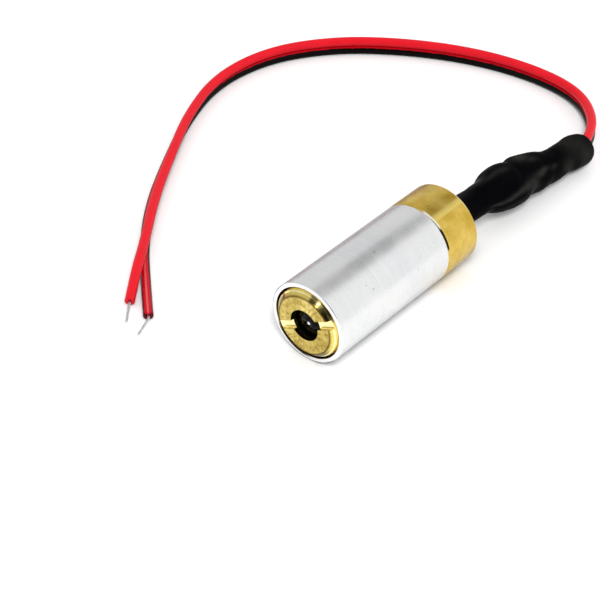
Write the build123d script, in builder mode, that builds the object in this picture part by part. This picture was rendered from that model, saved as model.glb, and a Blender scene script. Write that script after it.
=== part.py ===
"""Laser diode module: a slotted focusing cell in an aluminium barrel, a brass heat sink that holds
the pump diode and its crystals, and a driver board in shrink tube with two bonded leads.

Millimetres. The optical axis is the Y axis and the beam leaves towards -Y. +Z is up. The origin is
on the axis in the middle of the aluminium barrel. The module lies on its side, as it comes to rest.
"""

import os
from math import cos, pi, radians, tan

from build123d import *

# Barrel
barrel_diameter = 12.0
barrel_length = 22.6
barrel_wall = 0.65
barrel_edge = 0.12

# Heat sink: the visible ring and its spigot in the barrel
ring_length = 6.4
ring_edge = 0.12
spigot_length = 9.0
spigot_clearance = 0.02
spigot_wall = 1.33
holder_bore_depth = 5.6
diode_shoulder = 0.7
sleeve_insertion = 2.5
sleeve_bore_clearance = 0.08
sleeve_bore_depth = 3.0

# Focusing cell
cell_clearance = 0.08
cell_length = 7.0
cell_proud = 0.6
cell_bevel_width = 0.97
cell_bevel_rise = 0.85
cell_front_wall = 1.3
aperture = 4.6
slot_width = 1.25
slot_depth = 0.55
slot_angle = 26.0
cell_wall = 1.72
lens_clearance = 0.05
lens_edge = 1.4
lens_dome_clearance = 0.12
lens_dome_rise = 0.45
retainer_length = 1.2
retainer_wall = 0.9
retainer_slot = 0.6

# Focusing spring
spring_wire = 0.5
spring_turns = 5
spring_end_gap = 0.05

# Pump diode
header_diameter = 5.6
header_thickness = 1.2
header_clearance = 0.03
flange_diameter = 4.3
flange_thickness = 0.2
cap_diameter = 3.55
cap_height = 2.3
cap_wall = 0.2
window_hole = 1.8
window_thickness = 0.25
block_width = 1.2
block_depth = 0.8
block_height = 1.4
chip_size = 0.3
chip_thickness = 0.12
pin_diameter = 0.45
pin_circle = 2.0
pin_length = 6.5
pin_post = 0.8
seal_diameter = 0.85

# Crystal holder and the optics in it
holder_clearance = 0.03
cap_room = 0.5
crystal_width = 2.0
crystal_clearance = 0.03
laser_crystal_length = 1.0
doubling_crystal_length = 2.5
optic_diameter = 4.4
optic_clearance = 0.04
filter_thickness = 0.6
expander_edge = 1.1
expander_hollow_rise = 0.35
expander_hollow = 3.2
holder_lip = 0.5

# Shrink sleeve, measured from the heat sink's rear face
sleeve_length = 32.6
sleeve_wall = 0.4
neck_diameter = 4.7
sleeve_end_diameter = 5.1
sleeve_end_length = 1.0
sleeve_section_count = 24
sleeve_shoulder = 2.6
sleeve_edge_slack = 0.3
sleeve_side_slack = 2.0
sleeve_part_slack = 1.6
sleeve_waist = 0.6
sleeve_sideways = 2.2
sleeve_fall_power = 1.25
sleeve_sideways_power = 2.0
floor_gap = 0.05

# Driver board in the sleeve
board_start = 10.9
board_width = 4.4
board_thickness = 0.8
part_gap = 0.7
capacitor_length = 3.5
capacitor_width = 2.8
capacitor_height = 1.8
capacitor_taper = 3.0
capacitor_foot_width = 2.2
transistor_length = 4.5
transistor_width = 2.5
transistor_height = 1.5
control_chip_length = 2.9
control_chip_width = 1.6
control_chip_height = 1.1
leg_width = 0.4
leg_thickness = 0.15
leg_reach = 0.55
resistor_length = 1.6
resistor_width = 0.8
resistor_height = 0.45
resistor_gap = 0.45
chip_capacitor_length = 1.25
chip_capacitor_width = 2.0
chip_capacitor_height = 0.9

# Short wires from the diode's pins to the board
hookup_diameter = 0.8
hookup_overlap = 0.3
hookup_landing = 2.5
solder_diameter = 0.8
solder_length = 1.2
pin_in_solder = 0.7
pad_length = 1.2
pad_width = 1.0
pad_solder_height = 0.7
pad_solder_taper = 20.0

# Leads
lead_diameter = 1.45
lead_gap = 0.05
core_diameter = 0.42
core_soldered_length = 1.8
lead_start_gap = 0.3
bare_length = 3.9
bare_straight = 0.9
red_tip_bend = 3.0
black_tip_bend = -32.0

# Places worked out from the sizes
barrel_radius = barrel_diameter / 2
barrel_bore = barrel_diameter - 2 * barrel_wall
floor_z = -barrel_radius
front_y = -barrel_length / 2
rear_y = barrel_length / 2
ring_rear_y = rear_y + ring_length
cell_radius = barrel_bore / 2 - cell_clearance
lens_diameter = 2 * (cell_radius - cell_wall - lens_clearance)
cell_front_y = front_y - cell_proud
cell_rear_y = cell_front_y + cell_length
lens_seat_y = cell_front_y + cell_front_wall
spigot_radius = barrel_bore / 2 - spigot_clearance
spigot_front_y = rear_y - spigot_length
spring_length = spigot_front_y - cell_rear_y
holder_bore = 2 * (spigot_radius - spigot_wall)
header_front_y = spigot_front_y + holder_bore_depth
header_rear_y = header_front_y + header_thickness
cap_top_y = header_front_y - cap_height
cap_pocket_y = cap_top_y - cap_room
crystal_front_y = cap_pocket_y - laser_crystal_length - doubling_crystal_length
optic_front_y = crystal_front_y - filter_thickness - expander_edge
holder_front_y = optic_front_y - holder_lip
pin_end_y = header_rear_y + pin_length
joint_end_y = pin_end_y - pin_in_solder + solder_length

# Places along the driver board from its front edge, and its length with room for them all
capacitor_at = hookup_overlap + pad_length + part_gap + capacitor_length / 2
control_chip_at = capacitor_at + capacitor_length / 2 + part_gap + control_chip_length / 2
transistor_at = 2 * part_gap + transistor_length / 2
resistor_at = transistor_at + transistor_length / 2 + part_gap + resistor_length / 2
chip_capacitor_at = resistor_at + resistor_length / 2 + part_gap / 2 + chip_capacitor_length / 2
top_row_end = control_chip_at + control_chip_length / 2 + part_gap
bottom_row_end = chip_capacitor_at + chip_capacitor_length / 2 + part_gap / 2
board_length = max(top_row_end, bottom_row_end) + core_soldered_length
board_end = board_start + board_length

REARWARD = (0, 1, 0)


def across(y):
    """Plane square to the optical axis, seen from the front: +X to the right and +Z up."""
    return Plane.XZ.offset(-y)


def finish(part, label):
    """Name a finished piece and write its file."""
    part.label = label
    export_step(part, f"parts/{label}.step")


def run_radii(points):
    """Arc radius at each corner: 0.45 of the shorter run, over the tangent of half the turn."""
    radii = []
    for before, corner, after in zip(points, points[1:], points[2:]):
        into = corner - before
        out = after - corner
        half_turn = into.get_angle(out) / 2
        radii.append(0.45 * min(into.length, out.length) / tan(radians(half_turn)))
    return radii


def round_wire(route, diameter):
    """Solid of a round wire along a route of straight runs joined by arcs."""
    with BuildPart() as wire:
        with BuildLine() as path:
            FilletPolyline(*route, radius=run_radii(route))
        with BuildSketch(Plane(origin=path.line @ 0, z_dir=path.line % 0)):
            Circle(diameter / 2)
        sweep(path=path.line)
    return wire.part, path.wires()[0].length


os.makedirs("parts", exist_ok=True)


# Barrel
with BuildPart() as barrel:
    with BuildSketch(across(front_y)):
        Circle(barrel_radius)
        Circle(barrel_bore / 2, mode=Mode.SUBTRACT)
    extrude(amount=barrel_length, dir=REARWARD)
    chamfer(barrel.edges().filter_by(GeomType.CIRCLE), barrel_edge)
finish(barrel.part, "barrel")


# Heat sink: ring, spigot, bore for the crystal holder, diode seat and bore for the sleeve
with BuildPart() as heat_sink:
    with BuildSketch(across(rear_y)):
        Circle(barrel_radius)
    extrude(amount=ring_length, dir=REARWARD)
    chamfer(heat_sink.edges().filter_by(GeomType.CIRCLE), ring_edge)
    with BuildSketch(across(spigot_front_y)):
        Circle(spigot_radius)
    extrude(amount=rear_y - spigot_front_y, dir=REARWARD)
    with BuildSketch(across(spigot_front_y)):
        Circle(holder_bore / 2)
    extrude(amount=holder_bore_depth, dir=REARWARD, mode=Mode.SUBTRACT)
    with BuildSketch(across(header_front_y)):
        Circle(header_diameter / 2 + header_clearance)
    extrude(amount=header_thickness, dir=REARWARD, mode=Mode.SUBTRACT)
    with BuildSketch(across(header_rear_y)):
        Circle(header_diameter / 2 - diode_shoulder)
    extrude(amount=ring_rear_y - header_rear_y, dir=REARWARD, mode=Mode.SUBTRACT)
    with BuildSketch(across(ring_rear_y - sleeve_bore_depth)):
        Circle(neck_diameter / 2 + sleeve_bore_clearance)
    extrude(amount=sleeve_bore_depth, dir=REARWARD, mode=Mode.SUBTRACT)
finish(heat_sink.part, "heat_sink")


# Focusing cell: bevelled face, hole, screwdriver slot, and a bore from behind for the lens
lens_bore_radius = lens_diameter / 2 + lens_clearance
cell_bevel_y = cell_front_y + cell_bevel_rise
cell_face_radius = cell_radius - cell_bevel_width
with BuildPart() as lens_cell:
    with BuildSketch(Plane.XY):
        with BuildLine():
            Polyline(
                (aperture / 2, cell_front_y),
                (cell_face_radius, cell_front_y),
                (cell_radius, cell_bevel_y),
                (cell_radius, cell_rear_y),
                (lens_bore_radius, cell_rear_y),
                (lens_bore_radius, lens_seat_y),
                (aperture / 2, lens_seat_y),
                close=True,
            )
        make_face()
    revolve(axis=Axis.Y)
    with BuildSketch(across(cell_front_y)):
        Rectangle(barrel_diameter, slot_width, rotation=slot_angle)
    extrude(amount=slot_depth, dir=REARWARD, mode=Mode.SUBTRACT)
finish(lens_cell.part, "lens_cell")


# Collimating lens: flat flange on the cell's wall, and a dome that looks out of the hole
dome_radius = aperture / 2 - lens_dome_clearance
lens_rear_y = lens_seat_y + lens_edge
with BuildPart() as collimating_lens:
    with BuildSketch(Plane.XY):
        with BuildLine():
            RadiusArc(
                (dome_radius, lens_seat_y),
                (0, lens_seat_y - lens_dome_rise),
                (dome_radius**2 + lens_dome_rise**2) / (2 * lens_dome_rise),
            )
            Polyline(
                (0, lens_seat_y - lens_dome_rise),
                (0, lens_rear_y),
                (lens_diameter / 2, lens_rear_y),
                (lens_diameter / 2, lens_seat_y),
                (dome_radius, lens_seat_y),
            )
        make_face()
    revolve(axis=Axis.Y)
finish(collimating_lens.part, "collimating_lens")


# Retaining ring behind the lens, with a slot for a two-pronged key
with BuildPart() as lens_retainer:
    with BuildSketch(across(lens_rear_y)):
        Circle(lens_diameter / 2)
        Circle(lens_diameter / 2 - retainer_wall, mode=Mode.SUBTRACT)
    extrude(amount=retainer_length, dir=REARWARD)
    with BuildSketch(across(lens_rear_y + retainer_length / 2)):
        Rectangle(barrel_diameter, retainer_slot)
    extrude(amount=retainer_length / 2, dir=REARWARD, mode=Mode.SUBTRACT)
finish(lens_retainer.part, "lens_retainer")


# Spring that loads the cell's thread, between the cell and the heat sink's spigot
spring_radius = (holder_bore + 2 * spigot_radius) / 4
spring_rise = spring_length - spring_wire - 2 * spring_end_gap
spring_start_y = cell_rear_y + spring_end_gap + spring_wire / 2
with BuildPart() as focus_spring:
    with BuildLine() as coil:
        Helix(
            pitch=spring_rise / spring_turns,
            height=spring_rise,
            radius=spring_radius,
            center=(0, spring_start_y, 0),
            direction=REARWARD,
        )
    with BuildSketch(Plane(origin=coil.line @ 0, z_dir=coil.line % 0)):
        Circle(spring_wire / 2)
    sweep(is_frenet=True)
finish(focus_spring.part, "focus_spring")


# Pump diode: header with two sealed pin holes
pin_radius = pin_circle / 2
insulated_pins = [(-pin_radius, 0), (pin_radius, 0)]
case_pin = (0, -pin_radius)
with BuildPart() as diode_header:
    with BuildSketch(across(header_front_y)):
        Circle(header_diameter / 2)
        with Locations(*insulated_pins):
            Circle(seal_diameter / 2, mode=Mode.SUBTRACT)
    extrude(amount=header_thickness, dir=REARWARD)
finish(diode_header.part, "diode_header")

with BuildPart() as pin_seals:
    with BuildSketch(across(header_front_y)):
        with Locations(*insulated_pins):
            Circle(seal_diameter / 2)
            Circle(pin_diameter / 2, mode=Mode.SUBTRACT)
    extrude(amount=header_thickness, dir=REARWARD)
finish(pin_seals.part, "pin_seals")

with BuildPart() as diode_pins:
    with BuildSketch(across(header_front_y - pin_post)):
        with Locations(*insulated_pins):
            Circle(pin_diameter / 2)
    extrude(amount=pin_post + header_thickness + pin_length, dir=REARWARD)
    with BuildSketch(across(header_rear_y)):
        with Locations(case_pin):
            Circle(pin_diameter / 2)
    extrude(amount=pin_length, dir=REARWARD)
finish(diode_pins.part, "diode_pins")

with BuildPart() as diode_cap:
    with BuildSketch(across(header_front_y)):
        Circle(flange_diameter / 2)
    extrude(amount=-flange_thickness, dir=REARWARD)
    with BuildSketch(across(header_front_y)):
        Circle(cap_diameter / 2)
    extrude(amount=-cap_height, dir=REARWARD)
    with BuildSketch(across(header_front_y)):
        Circle(cap_diameter / 2 - cap_wall)
    extrude(amount=cap_wall - cap_height, dir=REARWARD, mode=Mode.SUBTRACT)
    with BuildSketch(across(cap_top_y)):
        Circle(window_hole / 2)
    extrude(amount=cap_wall, dir=REARWARD, mode=Mode.SUBTRACT)
finish(diode_cap.part, "diode_cap")

with BuildPart() as diode_window:
    with BuildSketch(across(cap_top_y + cap_wall)):
        Circle((window_hole + cap_diameter) / 4)
    extrude(amount=window_thickness, dir=REARWARD)
finish(diode_window.part, "diode_window")

with BuildPart() as diode_mount_block:
    with BuildSketch(across(header_front_y)):
        with Locations((0, chip_thickness / 2)):
            Rectangle(block_width, block_depth, align=(Align.CENTER, Align.MIN))
    extrude(amount=-block_height, dir=REARWARD)
finish(diode_mount_block.part, "diode_mount_block")

with BuildPart() as diode_chip:
    with BuildSketch(across(header_front_y - block_height)):
        Rectangle(chip_size, chip_thickness)
    extrude(amount=chip_size, dir=REARWARD)
finish(diode_chip.part, "diode_chip")


# Crystal holder: pocket for the diode's cap, square hole for the crystals, pocket for the optics
with BuildPart() as crystal_holder:
    with BuildSketch(across(holder_front_y)):
        Circle(holder_bore / 2 - holder_clearance)
    extrude(amount=header_front_y - holder_front_y, dir=REARWARD)
    with BuildSketch(across(cap_pocket_y)):
        Circle(flange_diameter / 2 + holder_clearance)
    extrude(amount=header_front_y - cap_pocket_y, dir=REARWARD, mode=Mode.SUBTRACT)
    with BuildSketch(across(crystal_front_y)):
        Rectangle(crystal_width + 2 * crystal_clearance, crystal_width + 2 * crystal_clearance)
    extrude(amount=cap_pocket_y - crystal_front_y, dir=REARWARD, mode=Mode.SUBTRACT)
    with BuildSketch(across(holder_front_y)):
        Circle(optic_diameter / 2 + optic_clearance)
    extrude(amount=crystal_front_y - holder_front_y, dir=REARWARD, mode=Mode.SUBTRACT)
finish(crystal_holder.part, "crystal_holder")

with BuildPart() as laser_crystal:
    with BuildSketch(across(cap_pocket_y - laser_crystal_length)):
        Rectangle(crystal_width, crystal_width)
    extrude(amount=laser_crystal_length, dir=REARWARD)
finish(laser_crystal.part, "laser_crystal")

with BuildPart() as doubling_crystal:
    with BuildSketch(across(crystal_front_y)):
        Rectangle(crystal_width, crystal_width)
    extrude(amount=doubling_crystal_length, dir=REARWARD)
finish(doubling_crystal.part, "doubling_crystal")

with BuildPart() as infrared_filter:
    with BuildSketch(across(crystal_front_y - filter_thickness)):
        Circle(optic_diameter / 2)
    extrude(amount=filter_thickness, dir=REARWARD)
finish(infrared_filter.part, "infrared_filter")

with BuildPart() as expander_lens:
    with BuildSketch(across(optic_front_y)):
        Circle(optic_diameter / 2)
    extrude(amount=expander_edge, dir=REARWARD)
    with BuildSketch(Plane.XY):
        with BuildLine():
            RadiusArc(
                (expander_hollow / 2, optic_front_y),
                (0, optic_front_y + expander_hollow_rise),
                -((expander_hollow / 2) ** 2 + expander_hollow_rise**2) / (2 * expander_hollow_rise),
            )
            Polyline(
                (0, optic_front_y + expander_hollow_rise),
                (0, optic_front_y),
                (expander_hollow / 2, optic_front_y),
            )
        make_face()
    revolve(axis=Axis.Y, mode=Mode.SUBTRACT)
finish(expander_lens.part, "expander_lens")


# Shrink sleeve: its axis leaves the heat sink level, then droops until the end lies on the floor
sleeve_fall = barrel_radius - sleeve_end_diameter / 2 - floor_gap


def sleeve_axis(distance):
    """Point on the sleeve's axis, at a distance behind the heat sink's rear face."""
    share = max(0.0, distance / sleeve_length)
    sideways = sleeve_sideways * share**sleeve_sideways_power
    fall = sleeve_fall * share**sleeve_fall_power
    return Vector(sideways, ring_rear_y + distance, -fall)


def sleeve_section(distance):
    """Plane square to the sleeve's axis, with its x direction level."""
    step = sleeve_length / 100
    along = (sleeve_axis(distance + step) - sleeve_axis(distance - step)).normalized()
    level = Vector(0, 0, 1).cross(along).normalized()
    return Plane(origin=sleeve_axis(distance), x_dir=level, z_dir=along)


# Sizes that the sleeve takes: distance, width and height, each over the thing it is shrunk on
board_edge_width = board_width + 2 * sleeve_wall + sleeve_edge_slack
swelling_width = board_edge_width + sleeve_side_slack
part_room = board_thickness + 2 * sleeve_wall + sleeve_part_slack
first_height = part_room + capacitor_height + transistor_height
second_height = part_room + control_chip_height + chip_capacitor_height
after_board = neck_diameter + floor_gap
sleeve_sizes = [
    (-sleeve_insertion, neck_diameter, neck_diameter),
    (board_start - sleeve_shoulder, neck_diameter, neck_diameter),
    (board_start, board_edge_width, max(neck_diameter, part_room)),
    (board_start + capacitor_at, swelling_width, first_height),
    (board_start + resistor_at - resistor_length / 2, swelling_width - sleeve_waist, second_height),
    (board_start + control_chip_at + part_gap, swelling_width - sleeve_waist / 2, second_height),
    (board_end, board_edge_width, max(neck_diameter, part_room)),
    (board_end + sleeve_shoulder, after_board, after_board),
    (sleeve_length - sleeve_shoulder - sleeve_end_length, after_board, after_board),
    (sleeve_length - sleeve_end_length, sleeve_end_diameter, sleeve_end_diameter),
    (sleeve_length, sleeve_end_diameter, sleeve_end_diameter),
]


def sleeve_size(distance):
    """Width and height of the sleeve, with a smooth wave between the places in sleeve_sizes."""
    for (start, *before), (end, *after) in zip(sleeve_sizes, sleeve_sizes[1:]):
        if distance <= end:
            share = (1 - cos(pi * (distance - start) / (end - start))) / 2
            return [low + share * (high - low) for low, high in zip(before, after)]
    return sleeve_sizes[-1][1:]


section_step = (sleeve_length + sleeve_insertion) / sleeve_section_count
with BuildPart() as heat_shrink_sleeve:
    for wall in (0, sleeve_wall):
        for number in range(sleeve_section_count + 1):
            place = number * section_step - sleeve_insertion
            width, height = sleeve_size(place)
            with BuildSketch(sleeve_section(place)):
                Ellipse(width / 2 - wall, height / 2 - wall)
        loft(mode=Mode.SUBTRACT if wall else Mode.ADD)
finish(heat_shrink_sleeve.part, "heat_shrink_sleeve")


# Driver board: its plane has x from the front edge to the rear one, y across it towards -X
board_front = sleeve_axis(board_start)
board_along = (sleeve_axis(board_start + board_length) - board_front).normalized()
board_across = Vector(0, 0, 1).cross(board_along).normalized()
board_plane = Plane(origin=board_front, x_dir=board_along, z_dir=board_along.cross(board_across))
board_top = board_plane.offset(board_thickness / 2)
board_bottom = board_plane.offset(-board_thickness / 2)

with BuildPart() as driver_board:
    with BuildSketch(board_bottom):
        Rectangle(board_length, board_width, align=(Align.MIN, Align.CENTER))
    extrude(amount=board_thickness)
finish(driver_board.part, "driver_board")

with BuildPart() as storage_capacitor:
    with BuildSketch(board_top):
        with Locations((capacitor_at, 0)):
            Rectangle(capacitor_length, capacitor_width)
    extrude(amount=capacitor_height, taper=capacitor_taper)
    for end in (-1, 1):
        with BuildSketch(board_top):
            with Locations((capacitor_at + end * (capacitor_length / 2), 0)):
                Rectangle(2 * leg_thickness, capacitor_foot_width)
        extrude(amount=capacitor_height / 2)
finish(storage_capacitor.part, "storage_capacitor")

with BuildPart() as power_transistor:
    with BuildSketch(board_bottom):
        with Locations((transistor_at, 0)):
            Rectangle(transistor_length, transistor_width)
    extrude(amount=-transistor_height)
    with BuildSketch(board_bottom):
        with Locations((transistor_at, 0)):
            with GridLocations(transistor_length / 3, 0, 3, 1):
                Rectangle(leg_width, transistor_width + 2 * leg_reach)
    extrude(amount=-leg_thickness)
finish(power_transistor.part, "power_transistor")

with BuildPart() as control_chip:
    with BuildSketch(board_top.offset(leg_thickness)):
        with Locations((control_chip_at, 0)):
            Rectangle(control_chip_length, control_chip_width)
    extrude(amount=control_chip_height - leg_thickness)
    with BuildSketch(board_top):
        with Locations((control_chip_at, 0)):
            with GridLocations(control_chip_length / 3, 0, 3, 1):
                Rectangle(leg_width, control_chip_width + 2 * leg_reach)
    extrude(amount=2 * leg_thickness)
finish(control_chip.part, "control_chip")

with BuildPart() as chip_resistors:
    with BuildSketch(board_bottom):
        with Locations((resistor_at, 0)):
            with GridLocations(0, resistor_width + resistor_gap, 1, 3):
                Rectangle(resistor_length, resistor_width)
    extrude(amount=-resistor_height)
finish(chip_resistors.part, "chip_resistors")

with BuildPart() as chip_capacitor:
    with BuildSketch(board_bottom):
        with Locations((chip_capacitor_at, 0)):
            Rectangle(chip_capacitor_length, chip_capacitor_width)
    extrude(amount=-chip_capacitor_height)
finish(chip_capacitor.part, "chip_capacitor")


# Short wires: level out of the pins' joints, then down onto the board
hookup_height = board_thickness / 2 + hookup_diameter / 2
with BuildPart() as pin_solder:
    with BuildSketch(across(pin_end_y - pin_in_solder)):
        with Locations(*insulated_pins):
            Circle(solder_diameter / 2)
    extrude(amount=solder_length, dir=REARWARD)
    with BuildSketch(across(pin_end_y - pin_in_solder)):
        with Locations(*insulated_pins):
            Circle(pin_diameter / 2)
    extrude(amount=pin_in_solder, dir=REARWARD, mode=Mode.SUBTRACT)
finish(pin_solder.part, "pin_solder")

hookup_solids = []
for side in (-1, 1):
    start = Vector(side * pin_radius, joint_end_y, 0)
    landing = board_plane.from_local_coords((hookup_overlap, -side * pin_radius, hookup_height))
    before_landing = landing - board_along * hookup_landing
    level_end = Vector(start.X, (start.Y + before_landing.Y) / 2, 0)
    wire, _ = round_wire([start, level_end, before_landing, landing], hookup_diameter)
    hookup_solids.append(wire)
with BuildPart() as hookup_wires:
    add(hookup_solids)
finish(hookup_wires.part, "hookup_wires")


# Leads: each point is x, distance behind the heat sink's rear face, and level. Level 0.5 lies on
# the floor and 1.5 lies on the other lead.
red_points = [
    (-1.0, 39.9, 1.95),
    (-7.6, 45.5, 1.6),
    (-16.8, 46.6, 1.5),
    (-27.3, 44.5, 1.5),
    (-37.4, 39.6, 1.5),
    (-46.3, 32.8, 1.5),
    (-52.6, 23.3, 1.5),
    (-53.7, 12.1, 1.5),
    (-49.8, 1.3, 1.5),
    (-44.4, -8.1, 1.5),
    (-38.6, -17.7, 1.5),
    (-31.8, -26.9, 1.5),
    (-28.5, -31.9, 1.45),
    (-25.4, -36.4, 0.6),
]
black_points = [
    (-1.0, 39.9, 0.95),
    (-7.6, 45.5, 0.6),
    (-16.8, 46.6, 0.5),
    (-27.3, 44.5, 0.5),
    (-37.4, 39.6, 0.5),
    (-46.3, 32.8, 0.5),
    (-52.6, 23.3, 0.5),
    (-53.9, 12.1, 0.5),
    (-50.2, 1.1, 0.5),
    (-45.0, -8.5, 0.5),
    (-39.3, -18.1, 0.5),
    (-32.6, -26.3, 0.5),
    (-27.3, -31.4, 0.5),
    (-21.5, -36.8, 0.5),
]
lead_step = lead_diameter + lead_gap
lead_offset = lead_step / 2


def lead_route(points, side):
    """Route of one lead, from behind the board through the sleeve, then over the floor."""
    start = board_plane.from_local_coords((board_length + lead_start_gap, 0, side * lead_offset))
    middle = sleeve_axis((board_start + board_length + sleeve_length) / 2)
    end = sleeve_axis(sleeve_length)
    lift = Vector(0, 0, side * lead_offset)
    route = [start, middle + lift, end + lift]
    for x, behind, level in points:
        route.append(Vector(x, ring_rear_y + behind, floor_z + level * lead_step))
    return route


def bare_end(route, bend):
    """Route of the bare wire that goes on from the end of a lead and bends onto the floor."""
    along = (route[-1] - route[-2]).normalized()
    corner = route[-1] + along * bare_straight
    end = corner + along.rotate(Axis.Z, bend) * (bare_length - bare_straight)
    end.Z = floor_z + core_diameter / 2 + floor_gap
    return [route[-1], corner, end]


red_route = lead_route(red_points, 1)
black_route = lead_route(black_points, -1)
red_lead, red_length = round_wire(red_route, lead_diameter)
black_lead, black_length = round_wire(black_route, lead_diameter)
finish(red_lead, "red_lead")
finish(black_lead, "black_lead")
for colour, route, solid, length in (
    ("red", red_route, red_lead, red_length),
    ("black", black_route, black_lead, black_length),
):
    expected = length * pi * lead_diameter**2 / 4
    print(colour, "lead length", round(length, 1), "volume over section times length",
          round(solid.volume / expected, 4))
    print(colour, "lead radii", [round(radius, 1) for radius in run_radii(route)])


def lead_core(route, bend):
    """Bare ends of one lead: the tip on the floor and the end soldered to the board."""
    tip, _ = round_wire(bare_end(route, bend), core_diameter)
    with BuildPart() as core:
        add(tip)
        with BuildSketch(Plane(origin=route[0], z_dir=-board_along)):
            Circle(core_diameter / 2)
        extrude(amount=core_soldered_length + lead_start_gap)
    return core.part


red_lead_core = lead_core(red_route, red_tip_bend)
black_lead_core = lead_core(black_route, black_tip_bend)
finish(red_lead_core, "red_lead_core")
finish(black_lead_core, "black_lead_core")


# Solder on the board: two joints for the short wires, and one for each lead
with BuildPart() as board_solder:
    with BuildSketch(board_top):
        with Locations(
            (hookup_overlap + pad_length / 2, -pin_radius),
            (hookup_overlap + pad_length / 2, pin_radius),
        ):
            Rectangle(pad_length, pad_width)
    extrude(amount=pad_solder_height, taper=pad_solder_taper)
    with BuildSketch(board_top):
        with Locations((board_length - pad_length / 2, 0)):
            Rectangle(pad_length, pad_width)
    extrude(amount=pad_solder_height, taper=pad_solder_taper)
    with BuildSketch(board_bottom):
        with Locations((board_length - pad_length / 2, 0)):
            Rectangle(pad_length, pad_width)
    extrude(amount=-pad_solder_height, taper=pad_solder_taper)
    add(red_lead_core, mode=Mode.SUBTRACT)
    add(black_lead_core, mode=Mode.SUBTRACT)
finish(board_solder.part, "board_solder")
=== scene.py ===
"""Looks of the laser diode module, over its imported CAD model, in the same frame.

Blender objects are in metres. Shapes are worked out in millimetres and scaled once, when their mesh
is made. Materials tell places apart in millimetres too, but their noise scales are per metre and their
bump depths in metres. The optical axis is the Y axis, the beam leaves towards -Y, and +Z is up. Angles
in the tables are in degrees round the axis, from +X towards +Z.
"""

from contextlib import contextmanager
from math import cos, degrees, exp, pi, radians, sin

import bmesh
import bpy
import numpy as np
from mathutils import Matrix, Vector, noise


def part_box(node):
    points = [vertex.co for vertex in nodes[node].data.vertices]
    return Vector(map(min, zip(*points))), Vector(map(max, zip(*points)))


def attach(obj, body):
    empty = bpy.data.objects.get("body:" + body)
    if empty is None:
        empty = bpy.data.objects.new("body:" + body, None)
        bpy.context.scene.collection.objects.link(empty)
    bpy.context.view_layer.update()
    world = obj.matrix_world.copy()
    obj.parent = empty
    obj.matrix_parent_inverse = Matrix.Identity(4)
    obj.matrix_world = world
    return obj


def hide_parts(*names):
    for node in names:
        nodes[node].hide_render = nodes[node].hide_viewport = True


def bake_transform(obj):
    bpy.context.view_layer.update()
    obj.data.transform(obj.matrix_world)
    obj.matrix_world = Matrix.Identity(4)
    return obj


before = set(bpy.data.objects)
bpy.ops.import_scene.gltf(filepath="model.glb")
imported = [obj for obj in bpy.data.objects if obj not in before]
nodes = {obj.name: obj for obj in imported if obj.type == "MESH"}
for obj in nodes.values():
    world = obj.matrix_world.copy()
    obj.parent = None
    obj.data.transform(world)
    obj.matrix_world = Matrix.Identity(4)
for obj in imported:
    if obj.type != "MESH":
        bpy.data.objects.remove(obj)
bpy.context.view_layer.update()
MM = 0.001


# Object and mesh helpers
def add_object(name, data):
    """New object in the scene."""
    made = bpy.data.objects.new(name, data)
    bpy.context.scene.collection.objects.link(made)
    return made


def give(piece, material):
    """Put one material on a piece or a CAD node."""
    piece.data.materials.clear()
    piece.data.materials.append(material)


def add_piece(name, mesh, body, replaced, material):
    """Piece that rides on a body, takes a material and stands for a CAD node, which it hides."""
    piece = add_object(name, mesh)
    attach(piece, body)
    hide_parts(replaced)
    give(piece, material)
    return piece


@contextmanager
def editing(mesh):
    """Open a mesh in bmesh, and write it back after the block."""
    work = bmesh.new()
    work.from_mesh(mesh)
    yield work
    work.to_mesh(mesh)
    work.free()


def turn_outwards(work):
    """Turn the faces of an open mesh outwards."""
    bmesh.ops.recalc_face_normals(work, faces=work.faces)


def raw_mesh(name, points, faces):
    """Mesh of points and faces as they are."""
    mesh = bpy.data.meshes.new(name)
    mesh.from_pydata([tuple(point) for point in points], [], faces)
    return mesh


def finish_mesh(mesh, sharp_angle):
    """Turn the faces outwards, smooth them, mark the steep edges and scale the mesh to metres."""
    limit = radians(sharp_angle)
    with editing(mesh) as work:
        turn_outwards(work)
        for face in work.faces:
            face.smooth = True
        for edge in work.edges:
            edge.smooth = not edge.is_manifold or edge.calc_face_angle() < limit
    mesh.transform(Matrix.Scale(MM, 4))
    mesh.update()


def make_mesh(name, points, faces, sharp_angle=35.0):
    """Smooth-shaded mesh in metres from points in millimetres, sharp where faces meet steeply."""
    mesh = raw_mesh(name, points, faces)
    finish_mesh(mesh, sharp_angle)
    return mesh


def make_tubes(name, points, faces):
    """Mesh of tubes from points in metres, with smooth walls and flat ends."""
    mesh = raw_mesh(name, points, faces)
    with editing(mesh) as work:
        turn_outwards(work)
        for face in work.faces:
            face.smooth = len(face.verts) == 4
    mesh.update()
    return mesh


def ring_angles(sides):
    """Angles of the points of a ring, in radians."""
    return [2 * pi * side / sides for side in range(sides)]


def ring_faces(rings, sides, closed):
    """Faces between rings of points, and from the last ring to the first where closed."""
    faces = []
    for ring in range(rings if closed else rings - 1):
        near = ring * sides
        far = (ring + 1) % rings * sides
        for side in range(sides):
            after = (side + 1) % sides
            faces.append((near + side, near + after, far + after, far + side))
    return faces


def tube_faces(rings, sides, first=0):
    """Faces of a tube with flat ends, whose points start at an index."""
    last = (rings - 1) * sides
    faces = ring_faces(rings, sides, False)
    faces += [tuple(range(sides)), tuple(reversed(range(last, last + sides)))]
    return [tuple(first + corner for corner in face) for face in faces]


def revolved(profile, sides):
    """Points and faces of a closed profile of (radius, y), turned round the optical axis."""
    angles = ring_angles(sides)
    points = [(radius * cos(angle), y, radius * sin(angle)) for radius, y in profile for angle in angles]
    return points, ring_faces(len(profile), sides, True)


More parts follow.
